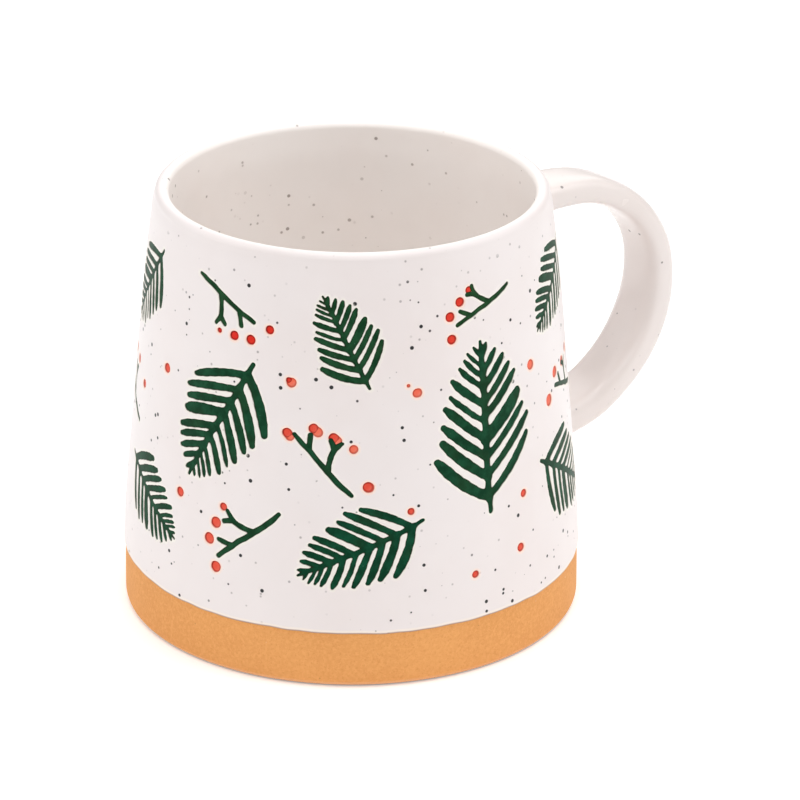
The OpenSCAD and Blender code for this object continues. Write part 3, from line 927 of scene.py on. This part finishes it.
class Nodes:
    """Short names for building one material's nodes."""

    def __init__(self, name):
        self.material = bpy.data.materials.new(name)
        self.material.use_nodes = True
        self.tree = self.material.node_tree
        self.shader = self.tree.nodes["Principled BSDF"]
        self.where = self.add("ShaderNodeTexCoord").outputs["Object"]
        split = self.add("ShaderNodeSeparateXYZ")
        self.put(split.inputs[0], self.where)
        self.height = split.outputs[2]

    def add(self, kind, **settings):
        node = self.tree.nodes.new(kind)
        for key, value in settings.items():
            setattr(node, key, value)
        return node

    def put(self, socket, value):
        if isinstance(value, bpy.types.NodeSocket):
            self.tree.links.new(value, socket)
        elif isinstance(value, tuple) and len(value) == 3:
            socket.default_value = (*value, 1.0)
        else:
            socket.default_value = value

    def noise(self, size_mm, detail=2.0, rough=0.5):
        node = self.add("ShaderNodeTexNoise")
        self.put(node.inputs["Vector"], self.where)
        node.inputs["Scale"].default_value = 1 / (size_mm * MM)
        node.inputs["Detail"].default_value = detail
        node.inputs["Roughness"].default_value = rough
        return node.outputs["Fac"]

    def math(self, op, a, b):
        node = self.add("ShaderNodeMath", operation=op)
        for socket, value in zip(node.inputs, (a, b)):
            self.put(socket, value)
        return node.outputs[0]

    def times(self, a, b):
        return self.math("MULTIPLY", a, b)

    def fade(self, value, a, b):
        """1 where value is a and below, 0 at b and above."""
        return self.math("SUBTRACT", 1.0, self.ramp(value, a, b))

    def ramp(self, value, a, b):
        """0 where value is a and below, 1 at b and above, with a soft start and end."""
        node = self.add("ShaderNodeMapRange", interpolation_type="SMOOTHSTEP")
        for socket, v in zip(node.inputs, (value, a, b, 0.0, 1.0)):
            self.put(socket, v)
        return node.outputs[0]

    def mix(self, share, a, b):
        node = self.add("ShaderNodeMix", data_type="RGBA")
        self.put(node.inputs[0], share)
        self.put(node.inputs[6], a)
        self.put(node.inputs[7], b)
        return node.outputs[2]

    def over(self, color, share, strength, tone):
        """A tone laid over a colour, where share is 1 by this strength."""
        return self.mix(self.times(share, strength), color, tone)

    def value(self, name):
        return self.add("ShaderNodeAttribute", attribute_name=name).outputs["Fac"]

    def dots(self, cell_mm, biggest_mm, share, soft=0.25, shift=0.0):
        """Round specks: one at most in each cell, in a share of the cells, of many sizes."""
        vec = self.where
        if shift:
            move = self.add("ShaderNodeVectorMath", operation="ADD")
            self.put(move.inputs[0], self.where)
            move.inputs[1].default_value = (shift, 2 * shift, 3 * shift)
            vec = move.outputs[0]
        node = self.add("ShaderNodeTexVoronoi")
        self.put(node.inputs["Vector"], vec)
        node.inputs["Scale"].default_value = 1 / (cell_mm * MM)
        pick = self.add("ShaderNodeSeparateColor")
        self.put(pick.inputs[0], node.outputs["Color"])
        size = self.ramp(pick.outputs[0], 1 - share, 1 - 0.4 * share)
        radius = self.times(size, biggest_mm / cell_mm)
        inside = self.math("SUBTRACT", radius, node.outputs["Distance"])
        mask = self.ramp(inside, 0.0, soft * biggest_mm / cell_mm)
        return mask, pick.outputs[1]

    def bump(self, height, distance_mm, strength=1.0, under=None):
        node = self.add("ShaderNodeBump")
        node.inputs["Distance"].default_value = distance_mm * MM
        node.inputs["Strength"].default_value = strength
        self.put(node.inputs["Height"], height)
        if under is not None:
            self.put(node.inputs["Normal"], under)
        return node.outputs[0]

    def finish(self, color, rough, normal=None, specular=0.5):
        s = self.shader.inputs
        self.put(s["Base Color"], color)
        self.put(s["Roughness"], rough)
        s["Specular IOR Level"].default_value = specular
        if normal is not None:
            self.put(s["Normal"], normal)
        return self.material


def toned(tone, red, green, blue):
    """A colour with its red, green and blue multiplied."""
    return tuple(min(1, c * k) for c, k in zip(tone, (red, green, blue)))


SPECKS = {  # for each use: size in mm, share of cells and colour of three kinds, from deep to surface
    "body": ((0.4, 0.22, (0.36, 0.32, 0.31)), (0.35, 0.2, (0.06, 0.045, 0.05)), (0.48, 0.34, (0.003, 0.002, 0.003))),
    "liner": ((0.46, 0.13, (0.46, 0.4, 0.37)), (0.5, 0.13, (0.38, 0.33, 0.3)), (0.46, 0.05, (0.28, 0.24, 0.22))),
    "handle": ((0.36, 0.14, (0.5, 0.46, 0.45)), (0.42, 0.12, (0.42, 0.38, 0.38)), (0.44, 0.05, (0.3, 0.27, 0.26))),
}


def glaze_material(name, tone, use):
    n = Nodes(name)
    cloud = n.noise(38, 3)
    pool = n.noise(9, 2)
    color = n.mix(n.ramp(cloud, 0.35, 0.7), tone, toned(tone, 0.985, 0.965, 0.955))
    color = n.over(color, n.ramp(pool, 0.4, 0.75), 0.35, toned(tone, 1.03, 1.03, 1.03))
    # Iron specks: a few dark ones on the surface, more that lie deeper and show grey
    kinds = SPECKS[use]
    deep, deep_tone = n.dots(1.5, *kinds[0][:2], 0.7)
    some, some_tone = n.dots(1.8, *kinds[1][:2], 0.4, 0.013)
    large, _ = n.dots(2.4, *kinds[2][:2], 0.2, 0.027)
    color = n.over(color, deep, n.ramp(deep_tone, 0.2, 1.0), kinds[0][2])
    if use == "body":  # hardly any near the lip
        below_lip = n.ramp(n.height, 91.0 * MM, 87.0 * MM)
        large, some = n.times(large, below_lip), n.times(some, below_lip)
    color = n.over(color, some, n.ramp(some_tone, 0.0, 0.8), kinds[1][2])
    color = n.mix(large, color, kinds[2][2])
    if use == "body":
        edge, red = n.value("edge"), n.value("red")
        halo = n.fade(edge, 0.1, 0.75)
        color = n.over(color, halo, 0.65, n.mix(red, (0.86, 0.83, 0.74), (0.97, 0.7, 0.56)))
        # Partly painted shade: a dark line along every edge of the coat, round each painted shape and along the bead
        # at the dip line, stands for the shaded edge of the glaze; partly it is green or red bled into the glaze
        lip = n.fade(edge, 0.0, 0.1)
        color = n.over(color, lip, 0.85, n.mix(red, (0.05, 0.07, 0.03), (0.62, 0.16, 0.1)))
    skin = n.noise(1.4, 3)
    slow = n.noise(14, 2)
    height = n.math("ADD", n.times(skin, 0.25), slow)
    height = n.math("SUBTRACT", height, n.times(large, 0.4))
    rough = n.math("ADD", 0.2 if use == "handle" else 0.31, n.times(n.noise(6, 2), 0.1))
    return n.finish(color, rough, n.bump(height, 0.03, 0.5), 0.5)


def green_material():
    n = Nodes("pine_green_underglaze")
    edge = n.value("edge")
    blot = n.noise(2.6, 4, 0.6)
    fine = n.noise(0.35, 3)
    olive = n.value("olive")
    deep = n.mix(olive, (0.0002, 0.035, 0.014), (0.005, 0.038, 0.01))
    color = n.mix(n.ramp(blot, 0.35, 0.68), deep, n.mix(olive, (0.003, 0.066, 0.03), (0.02, 0.072, 0.024)))
    thin = n.times(n.ramp(n.noise(5.5, 2), 0.5, 0.68), 0.35)
    color = n.mix(thin, color, (0.014, 0.04, 0.012))
    color = n.over(color, n.ramp(fine, 0.52, 0.7), 0.25, (0.008, 0.075, 0.035))
    # Partly painted shade: the dark line along each shape's edge stands for the shaded wall of its recess, and partly
    # for green pooled there
    rim = n.fade(edge, 0.02, 0.2)
    color = n.over(color, rim, 0.8, (0.014, 0.014, 0.005))
    pin, _ = n.dots(1.1, 0.12, 0.22, 0.5)
    color = n.over(color, pin, 0.5, (0.1, 0.2, 0.14))
    height = n.math("ADD", fine, blot)
    return n.finish(color, n.math("ADD", 0.36, n.times(fine, 0.15)), n.bump(height, 0.03, 0.5), 0.06)


def red_material():
    n = Nodes("berry_red_underglaze")
    edge, light, shade = n.value("edge"), n.value("light"), n.value("shade")
    blot = n.ramp(n.noise(0.9, 3), 0.35, 0.7)
    color = n.mix(light, (0.66, 0.022, 0.012), (0.86, 0.17, 0.095))
    color = n.over(color, blot, 0.3, n.mix(light, (0.78, 0.06, 0.03), (0.88, 0.26, 0.17)))
    # Painted light: the side of each dab away from the shade, its lower right, is lightened towards salmon, more on
    # the lighter berries
    far = n.times(n.ramp(shade, 0.1, -0.9), n.times(light, 0.7))
    color = n.mix(far, color, (0.76, 0.25, 0.18))
    # Partly painted shade: a dark ring round each dab's edge, strongest at its upper left where the recess wall is in
    # shade; the rest of the ring is red pooled at the edge
    near_edge = n.fade(edge, 0.12, 0.5)
    side = n.math("ADD", 0.62, n.times(n.ramp(shade, -0.15, 0.55), 0.38))
    dark = n.times(n.times(near_edge, side), n.math("SUBTRACT", 1.0, n.times(light, 0.35)))
    color = n.mix(dark, color, n.mix(light, (0.2, 0.005, 0.005), (0.38, 0.026, 0.016)))
    return n.finish(color, 0.5, n.bump(n.noise(0.4, 3), 0.03, 0.5), 0.1)


def clay_material(name, tone):
    n = Nodes(name)
    cloud = n.noise(20, 3)
    grain = n.noise(0.75, 5, 0.7)
    sand = n.noise(0.45, 3)
    color = n.mix(n.ramp(cloud, 0.3, 0.7), tone, toned(tone, 0.93, 0.9, 0.86))
    color = n.over(color, n.ramp(grain, 0.4, 0.66), 0.55, toned(tone, 1.1, 1.17, 1.32))
    color = n.over(color, n.ramp(sand, 0.52, 0.7), 0.4, toned(tone, 0.8, 0.68, 0.52))
    grog, _ = n.dots(2.4, 0.22, 0.4, 0.5)
    color = n.over(color, grog, 0.5, toned(tone, 0.45, 0.45, 0.45))
    pale, _ = n.dots(3.1, 0.3, 0.35, 0.6, 0.041)
    color = n.over(color, pale, 0.45, (0.93, 0.68, 0.5))
    # Painted light: the foot's lowest edge is paler, standing in for bounce light on it
    foot_edge_painted_light = n.times(n.ramp(n.height, 1.5 * MM, 0.7 * MM), 0.5)
    color = n.mix(foot_edge_painted_light, color, (0.88, 0.52, 0.3))
    # Painted shadow: the lowest half millimetre is darkened as a contact shadow where the foot meets the floor
    color = n.over(color, n.ramp(n.height, 0.5 * MM, 0.25 * MM), 0.8, (0.2, 0.1, 0.05))
    height = n.math("ADD", grain, n.times(sand, 0.6))
    return n.finish(color, 0.78, n.bump(height, 0.06, 0.6), 0.3)


WHITE = (0.785, 0.728, 0.718)
white_painted = glaze_material("white_speckled_glaze_painted", WHITE, "body")
# The handle's glaze is the body's white glaze made darker: painted shade for the handle's shaded sides
handle_glaze_painted_shade = glaze_material("white_speckled_glaze", (0.745, 0.682, 0.655), "handle")
# The liner's glaze is the same white glaze made lighter: painted light, lifting the shaded inside of the mug
liner_glaze_painted_light = glaze_material("liner_speckled_glaze_painted_light", (0.94, 0.895, 0.865), "liner")
pine_green = green_material()
berry_red = red_material()
bare_clay = clay_material("bare_ochre_clay", (0.765, 0.35, 0.109))
slip_clay = clay_material("joint_slip", (0.55, 0.28, 0.12))

# ---- pieces ----
p, f, nrm, share, vals = glaze_coat()
add_piece("glaze_coat", p, f, white_painted, ["outer_glaze"], (nrm, share), vals)

LIP_THINNING, THIN_FROM, THIN_OVER = 0.95, 62, 25
LINER_TOP = HEIGHT - 7  # where the inner wall's profile meets the lip's
FOOT_IN = BASE_R - FOOT_EDGE_R - FOOT_RING_W
CUP_R = float(wall_r(FLOOR_Z + INNER_CORNER_R)) - WALL_T
INNER_Z = np.linspace(LINER_TOP, FLOOR_Z + INNER_CORNER_R + 2, 24)
OUTER_Z = np.concatenate([np.linspace(FOOT_EDGE_R, 30, 28), np.linspace(33, LIP_Z, 22)])


def inner_thickness(z):
    """The wall thins towards the lip, so that the lip has no ledge inside."""
    return WALL_T - LIP_THINNING * min(1, max(0, (z - THIN_FROM) / THIN_OVER))


def inside_r(z, off):
    return float(wall_r(z)) - inner_thickness(z) - off


def inside_profile(off):
    """The cup's wall, corner and floor, from the top down to the axis."""
    wall = [(inside_r(z, off), float(z)) for z in INNER_Z]
    corner = arc(CUP_R - INNER_CORNER_R, FLOOR_Z + INNER_CORNER_R, INNER_CORNER_R - off, 0, -90, 16)
    return wall + corner + [(r, FLOOR_Z + off) for r in (24, 12, 4, 0)]


clay_profile = (
    [(r, FOOT_RECESS) for r in (0, 14, 28, FOOT_IN - 2.3)]
    + arc(FOOT_IN - 2.3, FOOT_RECESS - 0.8, 0.8, 90, 30, 5)
    + arc(FOOT_IN + 0.55, 0.55, 0.55, 200, 270, 6)
    + [(FOOT_IN + 2.4, 0.0)]
    + arc(BASE_R - FOOT_EDGE_R, FOOT_EDGE_R, FOOT_EDGE_R, -90, 0, 14)
    + [(float(r), float(z)) for r, z in zip(*outer_rz(OUTER_Z, 0.0))][1:]
    + arc(LIP_C, LIP_Z, LIP_R - GLAZE_T, 10, 170, 12)
    + inside_profile(0)
)
points, faces = lathe(clay_profile, COLUMNS)
add_piece("clay_body_bare_foot", points, faces, bare_clay, ["clay_body"])

lip_in = [(LIP_C + LIP_R * math.cos(a), LIP_Z + LIP_R * math.sin(a)) for a in np.radians(LIP_IN)]
(x0, z0), (x1, z1) = lip_in[-1], (inside_r(LINER_TOP, GLAZE_T), LINER_TOP)
drop = [(x0 + (x1 - x0) * t * t * (3 - 2 * t), z0 + (z1 - z0) * t) for t in (0.2, 0.4, 0.6, 0.8)]
liner_profile = lip_in + drop + inside_profile(GLAZE_T)
points, faces = lathe(liner_profile, COLUMNS)
add_piece("glaze_liner", points, faces, liner_glaze_painted_light, ["liner_glaze"])

points, faces = handle_mesh(72, 0.0, FILLET)
add_piece("handle_glaze_coat", points, faces, handle_glaze_painted_shade, ["handle_glaze"])
points, faces = handle_mesh(40, -GLAZE_T, 0)
add_piece("handle_clay", points, faces, bare_clay, ["handle_core"])
for node in ("upper_slip_joint", "lower_slip_joint"):
    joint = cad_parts[node]
    joint.data.materials.clear()
    joint.data.materials.append(slip_clay)

for kind, group, node, olive, usual in (
    ("sprig", sprigs, "pine_sprig", SPRIG_OLIVE, 0.2),
    ("twig", twigs, "berry_twig", TWIG_OLIVE, 0.4),
):
    for k, m in enumerate(group, 1):
        p, f, nrm, share, vals = inlay([m])
        vals["olive"] = np.full(len(p), olive.get(k, usual))
        add_piece(f"{kind}_colour_{k}", p, f, pine_green, [f"{node}_{k}"], (nrm, share), vals)
for name, group, node in (
    ("twig_berry_colour", berries[: len(TWIG_BERRIES)], "twig_berries"),
    ("loose_berry_colour", berries[len(TWIG_BERRIES) :], "loose_berries"),
):
    p, f, nrm, share, vals = dabs_of_red(group)
    add_piece(name, p, f, berry_red, [node], (nrm, share), vals)

# ---- floor, light and camera ----
floor_mesh = bpy.data.meshes.new("floor")
floor_mesh.from_pydata([(-3, -3, 0), (3, -3, 0), (3, 3, 0), (-3, 3, 0)], [], [(0, 1, 2, 3)])
floor = link(bpy.data.objects.new("floor", floor_mesh))
paper = Nodes("white_paper")
paper.shader.inputs["Emission Color"].default_value = (1, 1, 1, 1)
paper.shader.inputs["Emission Strength"].default_value = 0.22
floor_mesh.materials.append(paper.finish((0.95, 0.95, 0.95), 0.9, None, 0.2))

world = bpy.data.worlds.new("studio")
world.use_nodes = True
world.node_tree.nodes["Background"].inputs[0].default_value = (1.0, 0.99, 0.985, 1)
world.node_tree.nodes["Background"].inputs[1].default_value = 0.38
bpy.context.scene.world = world

VIEW_AZ, VIEW_EL, VIEW_DISTANCE = math.radians(-36), math.radians(23.187), 0.9299
ROLL = 0.0078  # radians
AIM_RIGHT, AIM_DOWN = 0.01036, 0.0025  # how far the camera aims off the mug's middle, in metres
LENS = 194.4
look_at = Vector((0, 0, HEIGHT / 2 * MM))
level = math.cos(VIEW_EL)
back = Vector((math.sin(VIEW_AZ) * level, -math.cos(VIEW_AZ) * level, math.sin(VIEW_EL)))
right = Vector((math.cos(VIEW_AZ), math.sin(VIEW_AZ), 0))


def area_light(name, place, aim, side, power):
    lamp = bpy.data.lights.new(name, "AREA")
    lamp.shape = "RECTANGLE"
    lamp.size = lamp.size_y = side
    lamp.energy = power
    obj = link(bpy.data.objects.new(name, lamp))
    obj.location = place
    obj.rotation_euler = (aim - place).to_track_quat("-Z", "Y").to_euler()


centre = Vector((0, 0, 0.05))
front = Vector((back.x, back.y, 0)).normalized()
LIGHTS = {  # how far right, to the front and up, side length, watts
    "front_softbox": (0, 0.64, 0.64, 0.6, 1.95),
    "left_softbox": (-0.85, 0, 0.4, 0.7, 1.75),
    "right_softbox": (0.85, 0, 0.4, 0.7, 1.5),
    "back_softbox": (0, -0.7, 0.6, 0.8, 2.5),
    "upper_left_softbox": (-0.5, 0, 0.8, 0.6, 1.0),
    "upper_right_softbox": (0.5, 0, 0.8, 0.6, 2.1),
    "top_softbox": (0, 0, 0.9, 0.35, 2.2),
}
for name, (x, y, z, side, watts) in LIGHTS.items():
    area_light(name, centre + right * x + front * y + Vector((0, 0, z)), centre, side, watts)

camera = link(bpy.data.objects.new("camera", bpy.data.cameras.new("camera")))
bpy.context.scene.camera = camera
camera.location = look_at + back * VIEW_DISTANCE
true_up = back.cross(right)
aim = look_at + right * AIM_RIGHT - true_up * AIM_DOWN
aimed = (aim - camera.location).to_track_quat("-Z", "Y")
camera.rotation_euler = (aimed @ Quaternion((0, 0, 1), ROLL)).to_euler()
camera.data.sensor_width = 36
camera.data.lens = LENS
camera.data.clip_start = 0.01

bpy.context.scene.view_settings.view_transform = "Standard"
